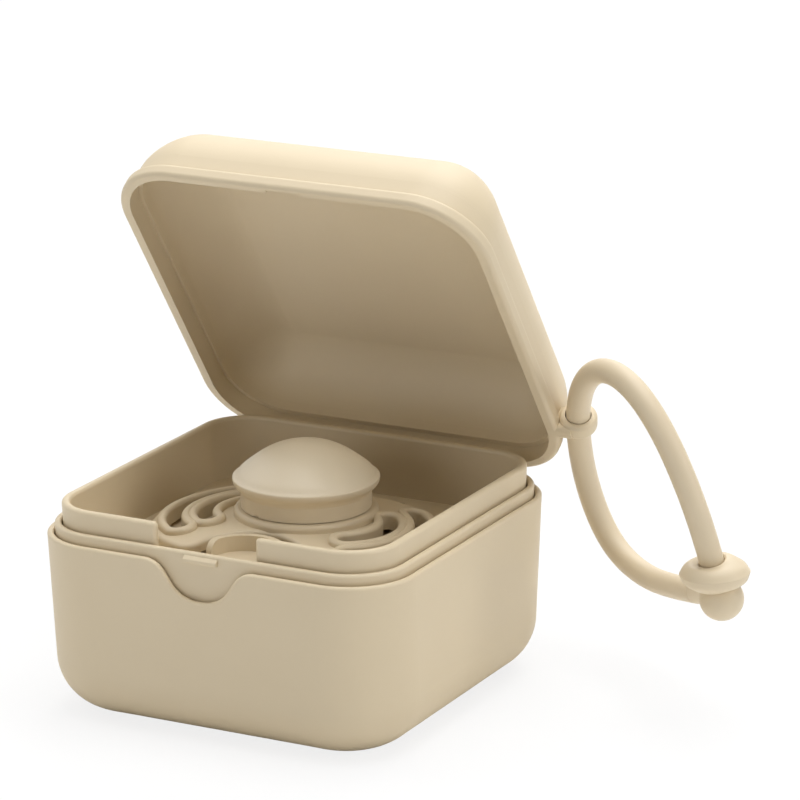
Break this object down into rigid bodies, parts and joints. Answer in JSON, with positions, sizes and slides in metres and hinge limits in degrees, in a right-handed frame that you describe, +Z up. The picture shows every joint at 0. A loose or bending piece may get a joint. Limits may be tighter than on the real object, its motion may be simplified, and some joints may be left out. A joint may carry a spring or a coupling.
{
  "type": "pacifier sterilizer case",
  "caption": "Pacifier storage and steam-sterilizing case: rounded box with water bowl, lift-out steam tray, hinged domed lid, looped carrying strap and a pacifier lying knob up.",
  "frame": {"origin": "centre of the casing's flat underside", "axes": "+Z up, +Y towards the hinge, -Y the front with the thumb notch, +X the side that carries the strap"},
  "size_m": [0.1154, 0.0809, 0.0949],
  "materials": {
    "shell_plastic": "soft matte",
    "knob_plastic": "satin",
    "silicone": "satin",
    "latex": "satin",
    "steel": "brushed"
  },
  "bodies": {
    "base": {"casing": "shell_plastic", "water_bowl": "shell_plastic", "hinge_pin": "steel"},
    "lid": {"lid": "shell_plastic"},
    "strap": {"strap_cord": "silicone", "strap_button": "silicone", "strap_ball": "silicone"},
    "tray": {"steam_tray": "shell_plastic"},
    "pacifier": {"pacifier_shield": "shell_plastic", "pacifier_nipple": "latex"},
    "knob": {"pacifier_knob": "knob_plastic"}
  },
  "joints": [
    {"name": "lid_hinge", "type": "hinge", "parent": "base", "child": "lid", "pos_m": [0, 0.0365, 0.0311], "axis": [-1, 0, 0], "range_deg": [-54.7, 45]},
    {"name": "strap_swing", "type": "hinge", "parent": "lid", "child": "strap", "pos_m": [0.0385, 0.03299, 0.0446], "axis": [0.228, -0.489, 0.842], "range_deg": [-10, 45]},
    {"name": "tray_lift", "type": "slide", "parent": "base", "child": "tray", "axis": [0, 0, 1], "range_m": [0, 0.0165]},
    {"name": "pacifier_lift", "type": "slide", "parent": "tray", "child": "pacifier", "axis": [0, 0, 1], "range_m": [0, 0.038]},
    {"name": "knob_pull", "type": "slide", "parent": "pacifier", "child": "knob", "axis": [0, 0, 1], "range_m": [0, 0.009]}
  ]
}
